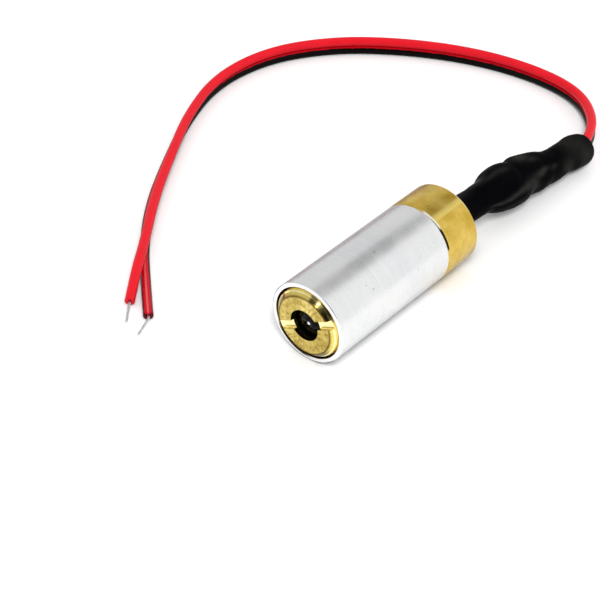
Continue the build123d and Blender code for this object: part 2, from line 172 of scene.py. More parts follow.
def rounded(profile, edges):
    """Profile with an arc in place of each corner that edges names: {index: radius}."""
    made = []
    count = len(profile)
    for index, corner in enumerate(profile):
        if index not in edges:
            made.append(corner)
            continue
        here = Vector(corner)
        before = (Vector(profile[index - 1]) - here).normalized()
        after = (Vector(profile[(index + 1) % count]) - here).normalized()
        for step in range(5):
            share = step / 4
            along = before * (1 - share) ** 2 + after * share**2
            made.append(tuple(here + along * edges[index]))
    return made


def waves(keys, places):
    """Smooth values at places from rising (place, value) pairs, with no overshoot."""
    x, y = np.array(keys, float).T
    steps = np.diff(y) / np.diff(x)
    slopes = np.zeros(len(x))
    for k in range(1, len(x) - 1):
        if steps[k - 1] * steps[k] > 0:
            slopes[k] = 2 * steps[k - 1] * steps[k] / (steps[k - 1] + steps[k])
    k = np.clip(np.searchsorted(x, places) - 1, 0, len(x) - 2)
    width = x[k + 1] - x[k]
    t = np.clip((places - x[k]) / width, 0, 1)
    rise = y[k] * (1 + 2 * t) * (1 - t) ** 2 + y[k + 1] * t * t * (3 - 2 * t)
    return rise + width * (slopes[k] * t * (1 - t) ** 2 + slopes[k + 1] * t * t * (t - 1))


def hump(offset, width):
    """Bell of height 1 at an offset of 0."""
    return exp(-((offset / width) ** 2))


def turned(angle, centre):
    """Difference of two angles in degrees, within half a turn."""
    return (angle - centre + 180) % 360 - 180


# Material helpers. Most of a noise texture's values lie between these two.
NOISE_LOW = 0.3
NOISE_HIGH = 0.7


def new_material(name):
    """Material, its node tree and its shader."""
    material = bpy.data.materials.new(name)
    material.use_nodes = True
    tree = material.node_tree
    return material, tree, tree.nodes["Principled BSDF"]


def feed(tree, socket, value):
    """Link an output to a socket, or set the socket to a number, vector or colour."""
    if isinstance(value, bpy.types.NodeSocket):
        tree.links.new(value, socket)
    elif isinstance(value, tuple) and len(socket.default_value) == 4:
        socket.default_value = (*value, 1.0)
    else:
        socket.default_value = value


def node(tree, kind, inputs=(), **settings):
    """New node with its properties, and inputs by name or number."""
    made = tree.nodes.new(kind)
    for key, value in settings.items():
        setattr(made, key, value)
    for key, value in dict(inputs).items():
        feed(tree, made.inputs[key], value)
    return made


def compute(tree, operation, *values):
    """Math on outputs or numbers, from left to right."""
    result = values[0]
    for value in values[1:]:
        result = node(tree, "ShaderNodeMath", {0: result, 1: value}, operation=operation).outputs[0]
    return result


def vector_math(tree, operation, first, second=(0.0, 0.0, 0.0)):
    """Outputs of a vector math node: its Vector and its Value."""
    return node(tree, "ShaderNodeVectorMath", {0: first, 1: second}, operation=operation).outputs


def level(tree, value, low, high, to_low=0.0, to_high=1.0, smooth=False):
    """Value moved from one range to another, and kept in it."""
    inputs = {0: value, 1: low, 2: high, 3: to_low, 4: to_high}
    kind = "SMOOTHSTEP" if smooth else "LINEAR"
    return node(tree, "ShaderNodeMapRange", inputs, interpolation_type=kind).outputs[0]


def graded(tree, grain, to_low, to_high):
    """Number that follows a noise."""
    return level(tree, grain, NOISE_LOW, NOISE_HIGH, to_low, to_high)


def ramp(tree, value, stops):
    """Colour ramp over (place, colour) stops."""
    made = node(tree, "ShaderNodeValToRGB", {"Fac": value})
    elements = made.color_ramp.elements
    while len(elements) < len(stops):
        elements.new(0.5)
    for element, (at, colour) in zip(elements, stops):
        element.position = at
        element.color = (*colour, 1.0)
    return made.outputs["Color"]


def two_tone(tree, grain, dark, pale):
    """Colour that follows a noise."""
    return ramp(tree, grain, [(NOISE_LOW, dark), (NOISE_HIGH, pale)])


def blended(tree, share, first, second, way="MIX"):
    """Mix of two colours or outputs."""
    inputs = {0: share, 6: first, 7: second}
    return node(tree, "ShaderNodeMix", inputs, data_type="RGBA", blend_type=way).outputs[2]


def noise_at(tree, place, scale, detail, roughness):
    """Noise at a place."""
    inputs = {"Vector": place, "Scale": scale, "Detail": detail, "Roughness": roughness}
    return node(tree, "ShaderNodeTexNoise", inputs).outputs["Fac"]


def speckle(tree, scale, detail=4.0, roughness=0.6):
    """Noise over the piece, with a scale per metre for all axes or for each."""
    scales = scale if isinstance(scale, tuple) else (scale,) * 3
    where = node(tree, "ShaderNodeTexCoord").outputs["Object"]
    return noise_at(tree, vector_math(tree, "MULTIPLY", where, scales)["Vector"], 1.0, detail, roughness)


def place_on(tree):
    """Place on the piece, in millimetres."""
    where = node(tree, "ShaderNodeTexCoord").outputs["Object"]
    return vector_math(tree, "MULTIPLY", where, (1 / MM,) * 3)["Vector"]


def apart(tree, vector):
    """X, Y and Z of a vector."""
    return tuple(node(tree, "ShaderNodeSeparateXYZ", {0: vector}).outputs)


def round_axis(tree):
    """Y on the piece and distance from the optical axis, in millimetres, and direction from the axis."""
    x, y, z = apart(tree, place_on(tree))
    flat = node(tree, "ShaderNodeCombineXYZ", {"X": x, "Z": z}).outputs[0]
    return y, vector_math(tree, "LENGTH", flat)["Value"], vector_math(tree, "NORMALIZE", flat)["Vector"]


def within(tree, direction, centre, full, none):
    """1 where a direction is within full degrees of a centre, and 0 beyond none degrees."""
    nearness = vector_math(tree, "DOT_PRODUCT", direction, centre)["Value"]
    return level(tree, nearness, cos(radians(none)), cos(radians(full)), smooth=True)


def facing(tree, outwards, angle, full, none):
    """1 within full degrees of an angle round the axis, and 0 beyond none degrees."""
    return within(tree, outwards, (cos(radians(angle)), 0.0, sin(radians(angle))), full, none)


def between(tree, value, low, high, edge):
    """1 between two numbers, and 0 beyond a soft edge on each side."""
    return compute(
        tree, "MULTIPLY", level(tree, value, low - edge, low), level(tree, value, high + edge, high)
    )


def attribute(tree, name):
    """Number stored with the mesh's points."""
    return node(tree, "ShaderNodeAttribute", attribute_name=name).outputs["Fac"]


def surface(tree, shader, colour, roughness, metal=False):
    """Set a shader's colour and roughness, and whether it is metal."""
    feed(tree, shader.inputs["Base Color"], colour)
    feed(tree, shader.inputs["Roughness"], roughness)
    shader.inputs["Metallic"].default_value = float(metal)


def bumped(tree, shader, height, distance, strength):
    """Bump on the shader from a height, with its depth in metres."""
    bump = node(tree, "ShaderNodeBump", {"Height": height, "Distance": distance, "Strength": strength})
    feed(tree, shader.inputs["Normal"], bump.outputs["Normal"])


# Camera, at the photograph's angle
camera_data = bpy.data.cameras.new("camera")
camera_data.sensor_width = 36.0
camera_data.lens = 112.9
camera_data.clip_start = 0.01
camera_data.clip_end = 20.0
camera = add_object("camera", camera_data)
camera.location = (0.12209, -0.15505, 0.15553)
camera.rotation_euler = (radians(90 - 38.80), 0.0, radians(40.62))
bpy.context.scene.camera = camera
bpy.context.scene.view_settings.view_transform = "Standard"


def turned_metal(name, dark, pale, roughness, ring_size, blotch_size, speck, bands):
    """Metal with fine rings round the axis from the tool, soft blotches, scattered specks, and narrow
    bands of painted reflection and shade along its edges: low and high y, inner and outer radius,
    colour, angle, and the half widths in degrees where the band is full and where it ends."""
    material, tree, shader = new_material(name)
    rings = speckle(tree, (60, ring_size, 60))
    blotch = speckle(tree, blotch_size, 3.0, 0.55)
    colour = ramp(tree, blotch, [(0.32, dark), (0.68, pale)])
    colour = blended(tree, 1.0, colour, two_tone(tree, rings, (0.90,) * 3, (1.0,) * 3), "MULTIPLY")
    dots = speckle(tree, 1500, 1.0, 0.4)
    colour = blended(tree, level(tree, dots, 0.765, 0.79, 0.0, 0.6), colour, speck)
    y, radius, outwards = round_axis(tree)
    # Painted reflections and shade, in narrow bands
    for low, high, inner, outer, band_colour, angle, full, none in bands:
        along = between(tree, y, low, high, 0.03)
        across = between(tree, radius, inner, outer, 0.02)
        band = compute(tree, "MULTIPLY", along, across, facing(tree, outwards, angle, full, none))
        colour = blended(tree, band, colour, band_colour)
    surface(tree, shader, colour, graded(tree, blotch, roughness - 0.05, roughness + 0.05), True)
    bumped(tree, shader, rings, 0.000004, 0.6)
    return material


# Barrel: thin aluminium tube with small rounded edges
OUTER_RADIUS = 6.0
BORE_RADIUS = 5.35
BARREL_END = 11.3
barrel_profile = rounded(
    [
        (BORE_RADIUS, -BARREL_END),
        (OUTER_RADIUS, -BARREL_END),
        (OUTER_RADIUS, BARREL_END),
        (BORE_RADIUS, BARREL_END),
    ],
    {0: 0.08, 1: 0.18, 2: 0.16, 3: 0.08},
)

# Reflections kept as colour: two on the front rounding, one on the inner edge and one in the bore
BARREL_BANDS = [
    (-11.4, -11.0, 5.86, 6.10, (0.03, 0.03, 0.035), -88, 34, 56),
    (-11.4, -11.0, 5.84, 6.10, (0.36, 0.36, 0.40), 190, 44, 62),
    (-11.4, -11.2, 5.30, 5.58, (0.040, 0.026, 0.014), 240, 22, 42),
    (-11.1, -10.0, 0.01, 5.37, (0.014, 0.011, 0.008), 212, 72, 92),
]
aluminium = turned_metal(
    "aluminium", (0.81, 0.82, 0.83), (0.88, 0.88, 0.88), 0.27, 9000, 240, (0.55, 0.55, 0.56), BARREL_BANDS
)
barrel_mesh = make_mesh("barrel_tube", *revolved(barrel_profile, 256))
add_piece("barrel_tube", barrel_mesh, "housing", "barrel", aluminium)

# Heat sink: brass ring with its bores and the spigot that goes into the barrel
SPIGOT_RADIUS = 5.33
SPIGOT_FRONT = 2.3
RING_REAR = 17.7
heat_sink_profile = rounded(
    [
        (4.0, SPIGOT_FRONT),
        (SPIGOT_RADIUS, SPIGOT_FRONT),
        (SPIGOT_RADIUS, BARREL_END),
        (OUTER_RADIUS, BARREL_END),
        (OUTER_RADIUS, RING_REAR),
        (2.43, RING_REAR),
        (2.43, 14.7),
        (2.1, 14.7),
        (2.1, 9.1),
        (2.83, 9.1),
        (2.83, 7.9),
        (4.0, 7.9),
    ],
    {1: 0.1, 3: 0.36, 4: 0.14, 5: 0.1},
)

# Reflections kept as colour: two on the front rounding, one along the wall and one at the rear
RING_BANDS = [
    (11.20, 11.62, 0.01, 6.10, (0.03, 0.017, 0.005), 33, 14, 20),
    (11.20, 11.66, 0.01, 6.10, (1.0, 0.97, 0.82), 63, 11, 19),
    (11.80, 17.60, 5.90, 6.10, (0.81, 0.62, 0.17), 62, 0.6, 6),
    (17.56, 17.80, 5.86, 6.10, (1.0, 0.88, 0.50), 76, 20, 36),
]
ring_brass = turned_metal(
    "ring_brass", (0.60, 0.385, 0.045), (0.80, 0.58, 0.135), 0.28, 6000, 420, (0.34, 0.20, 0.03), RING_BANDS
)
heat_sink_mesh = make_mesh("heat_sink_ring", *revolved(heat_sink_profile, 256))
add_piece("heat_sink_ring", heat_sink_mesh, "housing", "heat_sink", ring_brass)


# Focusing cell: bevelled face with a fine groove round it, hole, slot, and the bore for the lens
CELL_FRONT = -11.9
HOLE_RADIUS = 2.30
CELL_RADIUS = 5.27
CELL_REAR = CELL_FRONT + 7.0
LENS_BORE = 3.55
LENS_SEAT = CELL_FRONT + 1.3
SLOT_ANGLE = radians(26.0)
SLOT_WIDTH = 1.25
SLOT_DEPTH = 0.55

# Dark reflections on the bevel, kept as colour: angle, half widths where each is full and where it
# ends, strength
DARK_REFLECTION_ZONES = [
    (275, 36, 62, 0.90),
    (190, 35, 75, 0.50),
    (146, 8, 24, 0.65),
    (40, 4, 13, 0.70),
    (76, 3.5, 8, 0.62),
]


def cell_material():
    """Brass with marks that run outwards on its face, a cleaner slot painted brighter for its stronger
    reflection, and a polished bevel with painted dark reflections. Painted shade darkens the groove,
    the gap round the cell and the wall of the hole.
    """
    material, tree, shader = new_material("cell_brass")
    y, radius, outwards = round_axis(tree)
    depth = compute(tree, "SUBTRACT", y, CELL_FRONT)
    blotch = speckle(tree, 800)
    pits = speckle(tree, 2600, 2.0, 0.5)

    # The marks hardly change with the radius, so they run outwards
    drift = node(tree, "ShaderNodeCombineXYZ", {"Y": compute(tree, "MULTIPLY", radius, 0.09)}).outputs[0]
    streak = noise_at(tree, vector_math(tree, "ADD", outwards, drift)["Vector"], 11.0, 3.0, 0.6)
    marks = ramp(tree, streak, [(0.36, (0.56, 0.50, 0.34)), (0.50, (1.0, 1.0, 1.0))])
    face = ramp(
        tree, blotch, [(0.32, (0.34, 0.245, 0.05)), (0.50, (0.52, 0.395, 0.10)), (0.68, (0.70, 0.57, 0.20))]
    )
    face = blended(tree, 0.85, face, marks, "MULTIPLY")
    face = blended(tree, level(tree, pits, 0.60, 0.68, 0.0, 0.60), face, (0.22, 0.13, 0.02))

    # Painted dark reflections on the bevel
    painted_dark = [compute(tree, "MULTIPLY", facing(tree, outwards, *zone), share) for *zone, share in DARK_REFLECTION_ZONES]
    # Painted shade darkens the bevel's outer edge on one side
    edge = level(tree, radius, 5.08, 5.14, 0.0, 0.40)
    painted_dark.append(compute(tree, "MULTIPLY", edge, facing(tree, outwards, 145, 72, 95)))
    bevel = two_tone(tree, blotch, (0.60, 0.44, 0.08), (0.86, 0.69, 0.22))
    bevel = blended(tree, compute(tree, "MAXIMUM", *painted_dark), bevel, (0.09, 0.055, 0.012))
    on_bevel = level(tree, radius, 4.36, 4.40)
    colour = blended(tree, on_bevel, face, bevel)

    # The slot floor is cleaner brass, and is also painted brighter as a stronger reflection
    in_slot = compute(tree, "MULTIPLY", level(tree, depth, 0.35, 0.45), level(tree, radius, 5.0, 4.9))
    clean_and_highlit = two_tone(tree, blotch, (0.92, 0.78, 0.34), (1.0, 0.90, 0.46))
    colour = blended(tree, in_slot, colour, clean_and_highlit)
    # Painted shade in the groove round the face
    across = compute(tree, "MULTIPLY", level(tree, radius, 4.12, 4.24), level(tree, radius, 4.56, 4.40))
    groove = compute(tree, "MULTIPLY", across, level(tree, depth, 0.35, 0.25), 0.64)
    colour = blended(tree, groove, colour, (0.12, 0.07, 0.012))
    # Painted shade deep in the gap round the cell
    in_gap = level(tree, depth, 0.92, 1.01)
    colour = blended(tree, in_gap, colour, (0.040, 0.024, 0.006))
    # Painted shade on the wall of the hole
    in_hole = level(tree, radius, HOLE_RADIUS + 0.02, HOLE_RADIUS - 0.02)
    colour = blended(tree, in_hole, colour, (0.15, 0.12, 0.03))

    polish = compute(tree, "MULTIPLY", on_bevel, 0.05)
    surface(tree, shader, colour, compute(tree, "SUBTRACT", graded(tree, pits, 0.25, 0.17), polish), True)
    bumped(tree, shader, streak, 0.000006, 0.5)
    return material


def slot_cutter():
    """Box that cuts the screwdriver slot, longer than the cell is wide."""
    corners = []
    for along in (-7.0, 7.0):
        for side in (-SLOT_WIDTH / 2, SLOT_WIDTH / 2):
            for y in (CELL_FRONT - 1.0, CELL_FRONT + SLOT_DEPTH):
                x = along * cos(SLOT_ANGLE) - side * sin(SLOT_ANGLE)
                z = along * sin(SLOT_ANGLE) + side * cos(SLOT_ANGLE)
                corners.append((x, y, z))
    faces = [(0, 1, 3, 2), (4, 6, 7, 5), (0, 4, 5, 1), (2, 3, 7, 6), (0, 2, 6, 4), (1, 5, 7, 3)]
    return raw_mesh("slot_cutter", corners, faces)


def cut_away(mesh, cutter):
    """New mesh of what a cutter leaves of a mesh."""
    for part in (mesh, cutter):
        with editing(part) as work:
            turn_outwards(work)
    blank = add_object("cell_blank", mesh)
    tool = add_object("slot_tool", cutter)
    cut = blank.modifiers.new("slot", "BOOLEAN")
    cut.operation = "DIFFERENCE"
    cut.solver = "EXACT"
    cut.object = tool
    bpy.context.view_layer.update()
    ready = blank.evaluated_get(bpy.context.evaluated_depsgraph_get())
    made = bpy.data.meshes.new_from_object(ready)
    bpy.data.objects.remove(blank)
    bpy.data.objects.remove(tool)
    return made


cell_profile = [
    (HOLE_RADIUS, CELL_FRONT),
    (4.22, CELL_FRONT),
    (4.27, CELL_FRONT + 0.09),
    (4.34, CELL_FRONT + 0.10),
    (4.39, CELL_FRONT + 0.04),
    (5.03, CELL_FRONT + 0.62),
    (CELL_RADIUS, CELL_FRONT + 0.98),
    (CELL_RADIUS, CELL_REAR),
    (LENS_BORE, CELL_REAR),
    (LENS_BORE, LENS_SEAT),
    (HOLE_RADIUS, LENS_SEAT),
]
cell_mesh = cut_away(raw_mesh("cell_blank", *revolved(cell_profile, 192)), slot_cutter())
cell_mesh.name = "focus_cell_body"

# Small worn edges all round
with editing(cell_mesh) as work:
    bmesh.ops.remove_doubles(work, verts=work.verts, dist=0.002)
    bmesh.ops.dissolve_limit(work, angle_limit=radians(0.4), verts=work.verts, edges=work.edges)
    turn_outwards(work)
    steep = [edge for edge in work.edges if edge.is_manifold and edge.calc_face_angle() > radians(25)]
    bmesh.ops.bevel(
        work, geom=steep, offset=0.035, segments=2, profile=0.5, affect="EDGES", clamp_overlap=True
    )
finish_mesh(cell_mesh, 12.0)
add_piece("focus_cell_body", cell_mesh, "focus_cell", "lens_cell", cell_material())

# Collimating lens: moulded lens with a domed front that looks out of the hole. Its profile stops just
# short of the axis. It bends light less than real glass and has little gloss, so that the hole is as
# dark as in the photograph, and a white grain on it stands for the glint.
AXIS_GAP = 0.0005
LENS_RADIUS = 3.5
DOME_RADIUS = 2.18
DOME_HEIGHT = 0.45
lens_rear = LENS_SEAT + 1.4
dome_front = LENS_SEAT - DOME_HEIGHT
curve_radius = (DOME_RADIUS**2 + DOME_HEIGHT**2) / (2 * DOME_HEIGHT)
lens_profile = [(AXIS_GAP, dome_front)]
for step in range(1, 25):
    radius = DOME_RADIUS * step / 24
    lens_profile.append((radius, dome_front + curve_radius - (curve_radius**2 - radius**2) ** 0.5))
lens_profile += [(LENS_RADIUS, LENS_SEAT), (LENS_RADIUS, lens_rear), (AXIS_GAP, lens_rear)]
lens_mesh = make_mesh("collimating_lens_glass", *revolved(lens_profile, 96))


def glass_material(name, colour, roughness, ior, gloss=0.5, grain=None):
    """Clear glass with a faint unevenness, and a white spot painted as a glint at a place in millimetres."""
    material, tree, shader = new_material(name)
    tint = two_tone(tree, speckle(tree, 300, 2.0, 0.5), tuple(part * 0.96 for part in colour), colour)
    clear = 1.0
    if grain:
        # A white spot painted as a glint, opaque where it lies
        off = vector_math(tree, "DISTANCE", place_on(tree), grain)["Value"]
        here = level(tree, off, 0.20, 0.26, 1.0, 0.0, True)
        tint = blended(tree, here, tint, (1.0, 1.0, 0.96))
        clear = compute(tree, "SUBTRACT", 1.0, here)
    surface(tree, shader, tint, roughness)
    feed(tree, shader.inputs["Transmission Weight"], clear)
    shader.inputs["IOR"].default_value = ior
    shader.inputs["Specular IOR Level"].default_value = gloss
    return material


add_piece(
    "collimating_lens_glass",
    lens_mesh,
    "focus_cell",
    "collimating_lens",
    glass_material("lens_glass", (0.42, 0.46, 0.22), 0.02, 1.16, 0.04, (0.07, -11.04, -0.12)),
)


# Shrink sleeve: its length, and behind the ring's rear face its start, which lies inside the ring, the
# beginning of its rim and the place that gives the rim its direction. Then how far its axis bends
# sideways and sags over that length.
SLEEVE_LENGTH = 32.6
SLEEVE_START = -2.5
SLEEVE_RIM = 31.95
RIM_MIDDLE = 32.0
SLEEVE_BEND = 2.2
SLEEVE_SAG = 3.4

# Its radius against distance behind the ring, on the photograph's two outlines of it and on the
# sides that face the camera and turn away from it
UPPER = [
    (-2.5, 2.33), (0.0, 2.33), (3.0, 2.27), (5.25, 2.21), (7.0, 2.20), (8.25, 2.30), (9.4, 2.38),
    (10.45, 2.62), (11.3, 3.05), (11.85, 3.24), (12.8, 3.37), (13.5, 3.42), (14.6, 3.35), (15.5, 3.16),
    (15.9, 3.05), (16.6, 3.19), (17.4, 3.28), (18.8, 3.12), (19.9, 2.97), (21.9, 2.61), (23.3, 2.20),
    (24.6, 2.10), (26.1, 2.22), (27.25, 2.34), (28.5, 2.52), (29.5, 2.68), (30.3, 2.76), (31.2, 2.66),
    (31.7, 2.52), (32.0, 2.40),
]
LOWER = [
    (-2.5, 2.33), (0.0, 2.33), (5.8, 2.30), (8.6, 2.24), (9.3, 2.36), (9.9, 2.62), (10.9, 2.98),
    (11.9, 3.22), (13.0, 3.38), (14.1, 3.47), (15.3, 3.48), (16.4, 3.36), (17.2, 3.06), (17.9, 2.90),
    (19.0, 2.98), (20.3, 3.08), (21.4, 2.98), (22.4, 2.84), (23.3, 2.83), (25.2, 2.69), (26.0, 2.54),
    (26.8, 2.40), (27.8, 2.36), (28.9, 2.45), (30.0, 2.42), (31.2, 2.36), (31.7, 2.28), (32.0, 2.20),
]
FACING = [
    (-2.5, 2.33), (0.0, 2.33), (6.0, 2.28), (8.0, 2.42), (9.6, 2.78), (11.5, 2.98), (13.5, 3.06),
    (15.0, 2.99), (16.0, 2.84), (17.2, 2.93), (19.0, 2.95), (21.0, 2.80), (23.0, 2.55), (24.4, 2.42),
    (25.2, 2.52), (26.4, 2.58), (29.0, 2.58), (31.0, 2.48), (31.7, 2.40), (32.0, 2.30),
]
AWAY = [
    (-2.5, 2.33), (0.0, 2.33), (6.0, 2.30), (9.0, 2.50), (11.5, 3.05), (13.5, 3.35), (16.0, 3.32),
    (18.5, 3.28), (21.0, 3.05), (23.5, 2.62), (25.5, 2.46), (28.0, 2.55), (30.0, 2.70), (31.6, 2.72),
    (32.0, 2.66),
]
UPPER_ANGLE = radians(141.0)

# Ridges over the board's edges, hollows between them, and folds of the shrunk tube: distance, angle,
# widths along each, height, and on a slanting one how its angle changes with distance, or its distance
# with angle
FOLDS = [
    (12.6, -3.46, 4.2, 17, 0.20, 0.9),
    (12.6, 96, 3.2, 24, 0.16),
    (12.4, 49.2, 4.0, 20, -0.16, -2.0),
    (15.87, 92, 0.55, 50, -0.20, 0.0, 0.01),
    (19.0, 122, 3.6, 26, 0.13),
    (20.0, 8, 3.4, 16, 0.12),
    (20.5, 62, 3.6, 26, -0.12),
    (12.5, 176, 5.0, 16, 0.10),
    (26.0, 28, 0.9, 40, 0.09),
]

# The photograph's soft grey sheen on the sleeve, kept as colour: distance, angle, widths along each,
# strength
PAINTED_SHEEN = [
    (2.2, 112, 3.0, 26, 1.0), (8.8, 115, 1.5, 14, 1.2), (11.2, 92, 2.1, 9, 0.6), (13.2, 85, 1.2, 8, 0.4),
    (12.0, 128, 3.0, 11, 0.6), (15.9, 129, 0.5, 8, 2.0), (17.9, 104, 1.3, 17, 1.3), (19.4, 80, 1.1, 10, 0.6),
    (9.5, -1, 1.2, 5, 1.2), (11.2, 4, 1.3, 5, 1.0), (13.0, 10, 1.2, 6, 0.9), (14.6, 14, 1.0, 7, 0.9),
    (15.8, 14, 0.8, 11, 0.8), (17.3, 14, 1.2, 17, 1.1), (17.6, -8, 1.0, 12, 0.7), (19.2, 30, 1.1, 9, 1.1),
    (20.4, 37, 0.9, 7, 0.8), (22.6, 30, 0.9, 10, 0.5), (25.8, 5, 1.2, 26, 0.9), (28.5, 75, 2.4, 60, 0.6),
    (30.4, 8, 1.6, 38, 0.85),
]


def relief(bells, distance, angle):
    """Sum of the bells at a place on the sleeve."""
    total = 0.0
    for bell in bells:
        at, centre, length, width, height, drift, slant = (*bell, 0.0, 0.0)[:7]
        along = distance - at - slant * turned(angle, centre)
        total += height * hump(along, length) * hump(turned(angle, centre + drift * (distance - at)), width)
    return total


def sleeve_axis(distance):
    """Point on the sleeve's axis, at a distance behind the ring's rear face."""
    share = max(0.0, distance / SLEEVE_LENGTH)
    return Vector((SLEEVE_BEND * share**2, RING_REAR + distance, -SLEEVE_SAG * share**1.25))


def sleeve_direction(distance):
    """Direction of the sleeve's axis, at a distance behind the ring's rear face."""
    return (sleeve_axis(distance + 0.2) - sleeve_axis(distance - 0.2)).normalized()


def sleeve_frame(distance):
    """Axis point, and the level and upward directions square to the axis there."""
    along = sleeve_direction(distance)
    across = along.cross(Vector((0, 0, 1))).normalized()
    return sleeve_axis(distance), across, across.cross(along)


def sleeve_radius(distance, angle, outlines):
    """Radius from the four outlines, smoothed round the section, with the folds and fine wrinkles."""
    upper, near, lower, far = outlines
    to_upper = cos(angle - UPPER_ANGLE)
    to_near = -sin(angle - UPPER_ANGLE)
    radius = (upper if to_upper > 0 else lower) * to_upper**2
    radius += (near if to_near > 0 else far) * to_near**2
    radius += relief(FOLDS, distance, degrees(angle))
    wrinkle = noise.noise(Vector((2.3 * cos(angle), 2.3 * sin(angle), distance * 0.55)))
    fine = noise.noise(Vector((5.1 * cos(angle), 5.1 * sin(angle), distance * 1.7 + 40)))
    calm = min(1.0, max(0.0, (distance - 2) / 6))
    return radius + calm * (0.05 * wrinkle + 0.018 * fine)


def sleeve_mesh():
    """Outer wall, rounded rim and inner wall of the sleeve."""
    steps = 300
    rim_steps = 8
    half_wall = 0.2
    angles = ring_angles(160)
    places = np.linspace(SLEEVE_START, SLEEVE_RIM, steps + 1)
    outlines = zip(*(waves(keys, places) for keys in (UPPER, FACING, LOWER, AWAY)))
    rows = []
    painted_sheen = []
    for distance, outline in zip(places, outlines):
        centre, across, up = sleeve_frame(distance)
        outs = [across * cos(angle) + up * sin(angle) for angle in angles]
        radii = [sleeve_radius(distance, angle, outline) for angle in angles]
        rows.append([(centre, out, radius) for out, radius in zip(outs, radii)])
        # Painted sheen at each point
        painted_sheen += [relief(PAINTED_SHEEN, distance, degrees(angle)) for angle in angles]
    rings = [[centre + out * radius for centre, out, radius in row] for row in rows]
    along = sleeve_direction(RIM_MIDDLE)
    for step in range(1, rim_steps):
        turn = pi * step / rim_steps
        inwards = half_wall * (1 - cos(turn))
        ahead = along * (half_wall * sin(turn))
        rings.append([centre + out * (radius - inwards) + ahead for centre, out, radius in rows[-1]])
    for row in reversed(rows[::3]):
        rings.append([centre + out * (radius - 2 * half_wall) for centre, out, radius in row])
    points = [point for ring in rings for point in ring]
    painted_sheen += [0.3] * (len(points) - len(painted_sheen))
    mesh = make_mesh("sleeve_tube", points, ring_faces(len(rings), len(angles), True), 60.0)
    mesh.attributes.new("painted_sheen", "FLOAT", "POINT").data.foreach_set("value", painted_sheen)
    return mesh


def sleeve_material():
    """Black shrink tube with hardly any gloss, a painted grey sheen, and faint dust."""
    material, tree, shader = new_material("shrink_tube_black")
    cloud = speckle(tree, (420, 160, 420))
    colour = two_tone(tree, cloud, (0.0012, 0.0011, 0.0016), (0.0024, 0.0022, 0.0028))
    uneven = graded(tree, speckle(tree, (1300, 700, 1300), 3.0), 0.72, 1.15)
    # Painted grey sheen stands for the tube's gloss
    colour = blended(
        tree, compute(tree, "MULTIPLY", attribute(tree, "painted_sheen"), uneven), colour, (0.022, 0.022, 0.020)
    )
    dust = level(tree, speckle(tree, 5200, 1.0, 0.4), 0.76, 0.82, 0.0, 0.4)
    colour = blended(tree, dust, colour, (0.06, 0.06, 0.06))
    surface(tree, shader, colour, graded(tree, cloud, 0.26, 0.36))
    shader.inputs["Specular IOR Level"].default_value = 0.005
    bumped(tree, shader, speckle(tree, 2600, 3.0), 0.00001, 0.3)
    return material


add_piece(
    "sleeve_tube", sleeve_mesh(), "housing", "heat_shrink_sleeve", sleeve_material()
)


# Leads: control points of the two bonded leads from the driver board to their bare ends, in metres
RED_ROUTE = [
    (0.00110, 0.04083, -0.00146),
    (0.00159, 0.04543, -0.00203),
    (0.00220, 0.05030, -0.00265),
    (-0.00100, 0.05760, -0.003075),
    (-0.00760, 0.06320, -0.00360),
    (-0.01680, 0.06430, -0.00375),
    (-0.02730, 0.06220, -0.00375),
    (-0.03740, 0.05730, -0.00375),
    (-0.04630, 0.05050, -0.00375),
    (-0.05260, 0.04100, -0.00375),
    (-0.05370, 0.02980, -0.00375),
    (-0.04980, 0.01900, -0.00375),
    (-0.04440, 0.00960, -0.00375),
    (-0.03860, 0.00000, -0.00375),
    (-0.03180, -0.00920, -0.00375),
    (-0.02850, -0.01420, -0.003825),
    (-0.02540, -0.01870, -0.00510),
]
BLACK_ROUTE = [
    (0.00109, 0.04067, -0.00295),
    (0.00159, 0.04543, -0.00353),
    (0.00220, 0.05030, -0.00415),
    (-0.00100, 0.05760, -0.004575),
    (-0.00760, 0.06320, -0.00510),
    (-0.01680, 0.06430, -0.00525),
    (-0.02730, 0.06220, -0.00525),
    (-0.03740, 0.05730, -0.00525),
    (-0.04630, 0.05050, -0.00525),
    (-0.05260, 0.04100, -0.00525),
    (-0.05390, 0.02980, -0.00525),
    (-0.05020, 0.01880, -0.00525),
    (-0.04500, 0.00920, -0.00525),
    (-0.03930, -0.00040, -0.00525),
    (-0.03260, -0.00860, -0.00525),
    (-0.02730, -0.01370, -0.00525),
    (-0.02150, -0.01910, -0.00525),
]

# Their bare strands, out of the cut ends and onto the board
RED_TIP = [
    (-0.02651, -0.01710, -0.00465),
    (-0.02540, -0.01870, -0.00510),
    (-0.02490, -0.01942, -0.00531),
    (-0.02312, -0.02174, -0.00574),
]
BLACK_TIP = [
    (-0.02296, -0.01774, -0.00525),
    (-0.02150, -0.01910, -0.00525),
    (-0.02084, -0.01971, -0.00526),
    (-0.02006, -0.02261, -0.00574),
]
RED_JOINT = [(0.00110, 0.04083, -0.00146), (0.00096, 0.03875, -0.00123)]
BLACK_JOINT = [(0.00109, 0.04067, -0.00295), (0.00094, 0.03858, -0.00272)]


